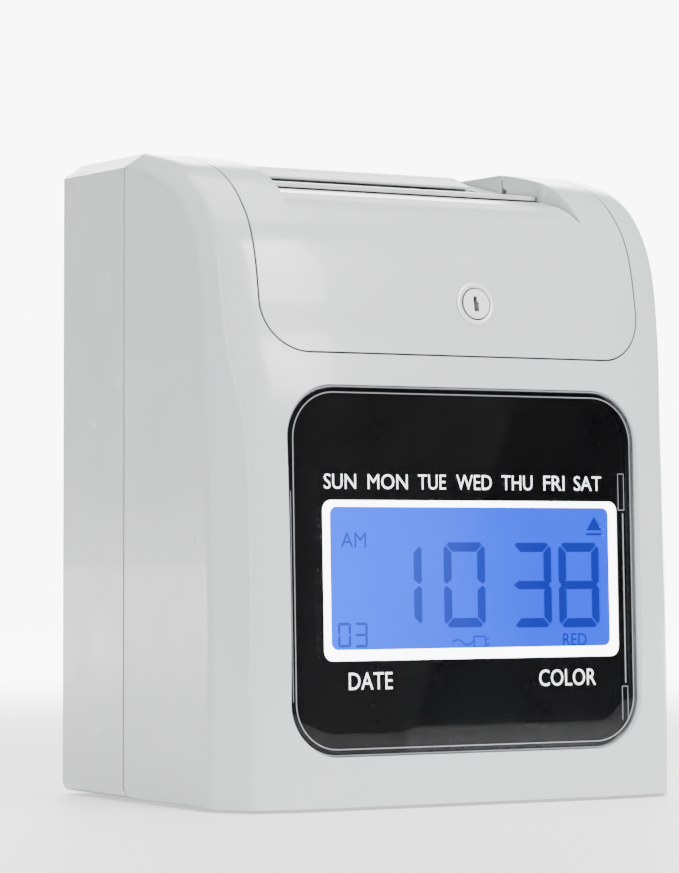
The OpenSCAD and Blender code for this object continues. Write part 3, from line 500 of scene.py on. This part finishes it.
def loft(name, rings, material, smooth_angle=30, cap_first=True, cap_last=True):
    """Joins rings of (x, y, z) points into one skin."""
    size = len(rings[0])
    verts = [p for ring in rings for p in ring]
    faces = []
    for k in range(len(rings) - 1):
        for i in range(size):
            j = (i + 1) % size
            faces.append((k * size + i, k * size + j, (k + 1) * size + j, (k + 1) * size + i))
    if cap_first:
        faces.append(tuple(range(size)))
    if cap_last:
        faces.append(tuple(range((len(rings) - 1) * size, len(rings) * size)))
    return new_piece(name, verts, faces, material, smooth_angle)


# ---------------------------------------------------------------- window

DISPLAY = (65.7, 16.5, 132.4, 17.0)     # half width, bottom, top and corner radius of the window
TILT = math.radians(-1.7)
FRAME_Y = -56.3         # the plane that depths in the window count from, at its bottom edge
PANEL_DEPTH = 3.4       # how far the black panel lies behind the frame's front plane


CORNER_STEPS = 14


def window_outline(inset):
    """Points of the window's rounded outline in X and Z, anticlockwise, drawn in by inset."""
    half, low, high, radius = DISPLAY
    half, low, high = half - inset, low + inset, high - inset
    radius = max(radius - inset, 0.5)
    points = []
    for cx, cz, start in ((half - radius, low + radius, -90), (half - radius, high - radius, 0),
                          (-half + radius, high - radius, 90), (-half + radius, low + radius, 180)):
        for i in range(CORNER_STEPS + 1):
            a = math.radians(start + 90 * i / CORNER_STEPS)
            points.append((cx + radius * math.cos(a), cz + radius * math.sin(a)))
    return points


def in_window(x, depth, z):
    """A place in the tilted plane of the window, depth behind the plane at FRAME_Y."""
    dz = z - DISPLAY[1]
    return (x, FRAME_Y + depth * math.cos(TILT) - dz * math.sin(TILT),
            DISPLAY[1] + depth * math.sin(TILT) + dz * math.cos(TILT))


def window_ring(inset, depth):
    return [in_window(x, depth, z) for x, z in window_outline(inset)]


def build_tabs():
    """Outlines of the window's moulded side tabs, drawn in light grey as painted highlights. Each bar is
    left, right, bottom and top, in mm.
    """
    bars = [(60.3, 60.75, 37.5, 92.5), (58.7, 58.95, 93.5, 105.5), (59.0, 59.25, 25.5, 36.5),
            (60.95, 61.2, 93.5, 105.5), (61.15, 61.4, 25.5, 36.5), (-64.15, -63.9, 34, 99),
            (58.7, 61.2, 105.25, 105.5), (58.7, 61.2, 93.5, 93.75), (59.0, 61.4, 36.25, 36.5)]
    outlines = [[(a, low), (b, low), (b, high), (a, high)] for a, b, low, high in bars]
    flat_shapes("window_tab_highlights", outlines, 1.4, LENS_EDGE_PAINTED_HIGHLIGHT, "display_lens")


def build_window():
    """The clear window, the painted highlight lines along its edge, and the black panel behind it."""
    rings = [window_ring(i, d) for i, d in (
        (9.0, 3.3), (4.6, 3.3), (0.3, 3.3), (0.3, 1.7), (1.1, 1.15), (2.5, 0.95), (3.0, 0.9), (9.0, 0.9))]
    lens = loft("window", rings, FINISH["lens"], 20)
    place_piece(lens, "display_lens", FINISH["lens"])
    # two thin light grey strips paint the highlights along the window's bevels
    for k, (outer, outer_depth, inner, inner_depth) in enumerate((
            (0.32, 1.68, 0.75, 1.36), (2.3, 0.96, 2.62, 0.92))):
        edge = loft(f"window_edge_painted_highlight_{k}", [window_ring(outer, outer_depth), window_ring(inner, inner_depth)],
                    LENS_EDGE_PAINTED_HIGHLIGHT, 30, False, False)
        ride_with(edge, "display_lens")
    build_tabs()
    panel = copy_node("window_mask", "display_mask")
    place_piece(panel, "display_mask", FINISH["mask"])


# ---------------------------------------------------------------- display contents

SEGMENTS = {"0": "abcdef", "1": "bc", "3": "abcdg", "8": "abcdefg"}


def segment_shapes(width, height, thick):
    """The seven bars of one digit, as outlines in X and Z from the digit's lower left corner."""
    w, h, t = width, height, thick
    gap = t * 0.09       # half the gap between bars
    m = h / 2
    cut = t * 0.55       # size of a corner's bevel

    def across(bar):
        return [(w - x, z) for x, z in bar]

    def over(bar):
        return [(x, h - z) for x, z in bar]

    top = [(cut + gap, h), (w - cut - gap, h), (w - cut / 2 - gap, h - cut / 2), (w - t - gap, h - t),
           (t + gap, h - t), (cut / 2 + gap, h - cut / 2)]
    middle = [(gap + t * 0.1, m), (t * 0.8, m + t * 0.45), (w - t * 0.8, m + t * 0.45),
              (w - gap - t * 0.1, m), (w - t * 0.8, m - t * 0.45), (t * 0.8, m - t * 0.45)]
    upper_left = [(0, h - cut - gap), (cut / 2, h - cut / 2 - gap), (t, h - t - gap),
                  (t, m + t / 2 + gap), (t * 0.35, m + gap), (0, m + t * 0.35)]
    return {"a": top, "d": over(top), "g": middle, "f": upper_left, "e": over(upper_left),
            "b": across(upper_left), "c": across(over(upper_left))}


def flat_shapes(name, outlines, depth, material, node):
    """Thin printed shapes in the window's plane."""
    verts = []
    faces = []
    for outline in outlines:
        faces.append(tuple(range(len(verts), len(verts) + len(outline))))
        verts += [in_window(x, depth, z) for x, z in outline]
    ride_with(new_piece(name, verts, faces, material), node)


def band(points, width):
    """A line of constant width through the points, as short four-sided pieces."""
    pieces = []
    for (x0, z0), (x1, z1) in zip(points, points[1:]):
        d = Vector((x1 - x0, z1 - z0)).normalized() * width / 2
        e = d * 0.6
        pieces.append([(x0 - e.x - d.y, z0 - e.y + d.x), (x1 + e.x - d.y, z1 + e.y + d.x),
                       (x1 + e.x + d.y, z1 + e.y - d.x), (x0 - e.x + d.y, z0 - e.y - d.x)])
    return pieces


def lettering(name, words, depth, material, node):
    """Generic printed words: each entry is text, left edge, right edge, baseline and capital height."""
    for k, (text, left, right, base, height) in enumerate(words):
        curve = bpy.data.curves.new(f"{name}_{k}", "FONT")
        curve.body = text
        curve.size = 1.0
        curve.resolution_u = 3
        piece = bpy.data.objects.new(f"{name}_{k}", curve)
        bpy.context.scene.collection.objects.link(piece)
        bpy.context.view_layer.update()
        mesh = bpy.data.meshes.new_from_object(piece.evaluated_get(bpy.context.evaluated_depsgraph_get()))
        bpy.data.objects.remove(piece)
        xs = [v.co.x for v in mesh.vertices]
        ys = [v.co.y for v in mesh.vertices]
        sx = (right - left) / (max(xs) - min(xs))
        sz = height / (max(ys) - min(ys))
        for v in mesh.vertices:
            x, z = left + (v.co.x - min(xs)) * sx, base + (v.co.y - min(ys)) * sz
            v.co = Vector(in_window(x, depth, z)) * MM
        mesh.materials.clear()
        mesh.materials.append(material)
        piece = bpy.data.objects.new(f"{name}_{k}", mesh)
        bpy.context.scene.collection.objects.link(piece)
        ride_with(piece, node)


LCD_INK = glowing("lcd_digits", (0.06, 0.125, 1.05), (0.024, 0.042, 0.69), (-0.03, 0.03))
LCD_FACE = 4.55                     # depth of the digits, just in front of the liquid crystal
PRINT_FACE = PANEL_DEPTH - 0.02     # depth of the printed words, just in front of the black panel


def segment_digit(char, left, right, low, high, thick):
    bars = segment_shapes(right - left, high - low, thick)
    return [[(left + px, low + pz) for px, pz in bars[letter]] for letter in SEGMENTS[char]]


def build_display():
    """The digits, the small signs and words of the display, and the generic words printed round it."""
    shapes = []
    for char, left, right, low, high in (("1", -31.0, -14.9, 56.45, 83.1), ("0", -6.7, 8.9, 56.2, 83.25),
                                         ("3", 19.2, 34.3, 55.9, 83.1), ("8", 37.1, 52.9, 55.7, 83.1)):
        shapes += segment_digit(char, left, right, low, high, 3.0)
    flat_shapes("lcd_time", shapes, LCD_FACE, LCD_INK, "lcd_panel")
    small = segment_digit("0", -45.9, -41.2, 50.5, 58.2, 0.85)
    small += segment_digit("3", -39.9, -35.1, 50.4, 58.2, 0.85)
    flat_shapes("lcd_date", small, LCD_FACE, LCD_INK, "lcd_panel")
    arrow = [[(48.3, 87.1), (54.3, 87.1), (51.3, 91.6)],
             [(48.1, 85.5), (54.3, 85.5), (54.3, 86.2), (48.1, 86.2)]]
    flat_shapes("lcd_arrow", arrow, LCD_FACE, LCD_INK, "lcd_panel")
    wire = band([(-3.8 + i * 0.89, 51.5 + 0.9 * math.sin(i * 0.75)) for i in range(10)], 0.4)
    wire += band([(4.3, 49.8), (8.6, 49.8), (8.6, 53.3), (4.3, 53.3), (4.3, 49.8)], 0.4)
    wire += band([(8.6, 52.4), (9.9, 52.4)], 0.4) + band([(8.6, 50.7), (9.9, 50.7)], 0.4)
    flat_shapes("lcd_plug", wire, LCD_FACE, LCD_INK, "lcd_panel")
    words = [("AM", -44.4, -35.2, 81.7, 4.7), ("RED", 38.4, 47.6, 49.9, 3.9)]
    lettering("lcd_word", words, LCD_FACE, LCD_INK, "lcd_panel")
    spans = {"SUN": (-50.9, -39.3), "MON": (-35.0, -20.3), "TUE": (-16.4, -6.1), "WED": (-2.1, 11.2),
             "THU": (15.0, 26.8), "FRI": (31.1, 39.2), "SAT": (42.9, 53.6)}
    words = [(day, left, right, 99.9, 4.75) for day, (left, right) in spans.items()]
    words += [("DATE", -42.9, -27.0, 37.3, 5.3), ("COLOR", 28.1, 50.1, 37.0, 5.3)]
    # the words are printed in white with a painted glow
    lettering("print", words, PRINT_FACE, WHITE_PRINT_PAINTED_GLOW, "display_mask")


def build_lock():
    """The lock's barrel, turned with a rounded rim and a fine groove round the plug."""
    # Each point is the radius and how far it stands out from the cover, in mm.
    profile = [(5.85, -13.9), (5.85, -0.8), (7.0, -0.8), (7.18, -0.6), (7.18, 0.0), (7.08, 0.2),
               (6.85, 0.29), (5.5, 0.29), (5.35, 0.2), (5.1, -0.5), (4.97, -0.6), (4.97, -13.9)]
    steps = 72
    tilt = math.radians(9)
    out = Vector((0, -math.cos(tilt), math.sin(tilt)))
    up = Vector((0, math.sin(tilt), math.cos(tilt)))
    joint = next(j for j in frame["record"]["behaviour"]["joints"] if j["name"] == "lock_turn")
    centre = Vector(joint["pos_m"]) / MM
    turn = [math.tau * i / steps for i in range(steps)]
    rings = []
    for r, z in profile:
        middle = centre + out * z
        rings.append([tuple(middle + Vector((r * math.cos(a), 0, 0)) + up * r * math.sin(a)) for a in turn])
    rings.append(rings[0])
    barrel = loft("barrel", rings, FINISH["lock_metal"], 35, False, False)
    place_piece(barrel, "lock_barrel", FINISH["lock_metal"])


build_window()
build_display()
build_lock()


# ---------------------------------------------------------------- finishes of the carried-over parts

THROAT_NODE = "card_guide_front"
for node, part in frame["nodes"].items():
    if part.hide_render:
        continue
    part.data.materials.clear()
    part.data.materials.append(THROAT if node == THROAT_NODE else FINISH[SLOT_OF[node]])
    smooth_by_angle(part, 28)


# ---------------------------------------------------------------- stage, light and camera

CAMERA_PLACE = (-0.61471, -1.01736, 0.08447)
CAMERA_AZIMUTH = -30.494
CAMERA_ELEVATION = -1.614
CAMERA_ROLL = 0.01
LENS_MM = 148.45
AHEAD = Vector((math.sin(math.radians(-CAMERA_AZIMUTH)), math.cos(math.radians(CAMERA_AZIMUTH)), 0))
MIRRORED = Vector((AHEAD.x, -AHEAD.y, 0))        # where the front face sends the camera's gaze
BACKDROP = 9.0          # brightness behind the object
FLOOR_GLOW = 0.8        # brightness the floor gives off near the object
SHEEN_LINE = [(20.9, 129.8), (-22.0, 20.2)]     # the sheen's edge on the window, top and bottom, in mm
SHEEN_DEPTH = 0.8       # depth in the window at which the sheen's edge is aimed, in mm
CARD_Y = -0.75          # place of the card that makes the sheen, in m
CARD_LEVEL = 0.16
CARD_WIDTH = 0.8        # in m


def floor_material():
    """Pale floor near the object that turns into a bright, even sweep behind it."""
    n = Nodes("pale_floor")
    bsdf = n.add("ShaderNodeBsdfPrincipled")
    cloud = n.noise(2.0)
    tint = n.ramp(cloud, "Fac", [(0.3, (0.84, 0.84, 0.84)), (0.7, (0.86, 0.86, 0.86))])
    n.link(tint, "Color", bsdf, "Base Color")
    bsdf.inputs["Roughness"].default_value = 0.55
    place = n.add("ShaderNodeTexCoord")
    reach = n.add("ShaderNodeVectorMath", operation="LENGTH")
    n.link(place, "Object", reach, 0)
    fade = n.mapped(reach, "Value", 0.25, 1.1, 0.0, BACKDROP * 0.75, interpolation_type="SMOOTHSTEP")
    along_gaze = n.add("ShaderNodeVectorMath", operation="DOT_PRODUCT")
    along_gaze.inputs[1].default_value = AHEAD
    n.link(place, "Object", along_gaze, 0)
    behind = n.mapped(along_gaze, "Value", 0.1, 0.9, interpolation_type="SMOOTHSTEP")
    glow = n.add("ShaderNodeMath", operation="MULTIPLY_ADD")
    glow.inputs[2].default_value = FLOOR_GLOW
    n.link(fade, "Result", glow, 0)
    n.link(behind, "Result", glow, 1)
    bsdf.inputs["Emission Color"].default_value = (1, 1, 1, 1)
    n.link(glow, "Value", bsdf, "Emission Strength")
    n.link(bsdf, "BSDF", n.out, "Surface")
    return n.material


def build_floor():
    reach = 8.0
    mesh = bpy.data.meshes.new("floor")
    mesh.from_pydata([(-reach, -reach, 0), (reach, -reach, 0), (reach, reach, 0), (-reach, reach, 0)], [],
                     [(0, 1, 2, 3)])
    mesh.materials.append(floor_material())
    floor = bpy.data.objects.new("floor", mesh)
    bpy.context.scene.collection.objects.link(floor)


def area_light(name, place, target, size, power):
    light = bpy.data.lights.new(name, "AREA")
    light.shape = "RECTANGLE"
    light.size, light.size_y = size
    light.energy = power
    lamp = bpy.data.objects.new(name, light)
    lamp.location = place
    lamp.rotation_euler = (Vector(target) - Vector(place)).to_track_quat("-Z", "Y").to_euler()
    bpy.context.scene.collection.objects.link(lamp)


def facing(tree, direction, low, high, to_low, to_high):
    """Goes from to_low to to_high as a direction of the surroundings turns towards the given one."""
    place = tree.nodes.new("ShaderNodeTexCoord")
    dot = tree.nodes.new("ShaderNodeVectorMath")
    dot.operation = "DOT_PRODUCT"
    dot.inputs[1].default_value = direction
    tree.links.new(place.outputs["Generated"], dot.inputs[0])
    step = tree.nodes.new("ShaderNodeMapRange")
    step.interpolation_type = "SMOOTHSTEP"
    step.inputs["From Min"].default_value = low
    step.inputs["From Max"].default_value = high
    step.inputs["To Min"].default_value = to_low
    step.inputs["To Max"].default_value = to_high
    tree.links.new(dot.outputs["Value"], step.inputs["Value"])
    return step


def build_surroundings():
    """White behind the object, dim in front where the window mirrors the room, soft grey elsewhere."""
    world = bpy.data.worlds.new("studio")
    world.use_nodes = True
    tree = world.node_tree
    background = tree.nodes["Background"]
    background.inputs["Color"].default_value = (1, 1, 1, 1)
    behind = facing(tree, AHEAD, 0.8, 0.93, 0.3, BACKDROP)
    room = facing(tree, MIRRORED, 0.35, 0.8, 1.0, 0.02)
    level = tree.nodes.new("ShaderNodeMath")
    level.operation = "MULTIPLY"
    tree.links.new(behind.outputs["Result"], level.inputs[0])
    tree.links.new(room.outputs["Result"], level.inputs[1])
    tree.links.new(level.outputs["Value"], background.inputs["Strength"])
    bpy.context.scene.world = world


def mirror_card():
    """A grey card in front, whose slanting edge shows as a sheen across the window.

    It isn't hidden from the camera, so it blocks some other views from in front.
    """
    n = Nodes("grey_card")
    glow = n.add("ShaderNodeEmission")
    cloud = n.noise(3.0)
    level = n.spread(cloud, CARD_LEVEL * 0.95, CARD_LEVEL * 1.05)
    n.link(level, "Result", glow, "Strength")
    n.link(glow, "Emission", n.out, "Surface")
    normal = Vector((0, -math.cos(TILT), -math.sin(TILT)))
    eye = Vector(CAMERA_PLACE)
    edge = []
    for x, z in SHEEN_LINE:
        spot = Vector(in_window(x, SHEEN_DEPTH, z)) * MM
        gaze = (spot - eye).normalized()
        back = gaze - 2 * gaze.dot(normal) * normal
        edge.append(spot + back * ((CARD_Y - spot.y) / back.y))
    top, low = edge
    slope = top - low
    top, low = top + slope * 0.6, low - slope * 0.25
    left = Vector((CARD_WIDTH, 0, 0))
    mesh = bpy.data.meshes.new("card")
    mesh.from_pydata([low, top, top - left, low - left], [], [(0, 1, 2, 3)])
    mesh.materials.append(n.material)
    card = bpy.data.objects.new("card", mesh)
    bpy.context.scene.collection.objects.link(card)


def build_light():
    build_surroundings()
    middle = (0, 0, 0.1)
    area_light("top", (0.0, -0.1, 1.6), middle, (1.5, 1.5), 39)
    area_light("key", (0.5, -1.7, 1.2), middle, (0.9, 0.7), 49)
    area_light("strip", (-1.6, -1.0, 0.6), middle, (0.14, 1.4), 7)
    mirror_card()


def build_camera():
    data = bpy.data.cameras.new("camera")
    data.lens = LENS_MM
    data.sensor_width = 36
    data.clip_start = 0.01
    camera = bpy.data.objects.new("camera", data)
    az, el = math.radians(CAMERA_AZIMUTH), math.radians(CAMERA_ELEVATION)
    forward = Vector((-math.sin(az) * math.cos(el), math.cos(az) * math.cos(el), -math.sin(el)))
    camera.location = CAMERA_PLACE
    turn = forward.to_track_quat("-Z", "Y").to_matrix() @ Matrix.Rotation(math.radians(CAMERA_ROLL), 3, "Z")
    camera.rotation_euler = turn.to_euler()
    bpy.context.scene.collection.objects.link(camera)
    bpy.context.scene.camera = camera


build_floor()
build_light()
build_camera()
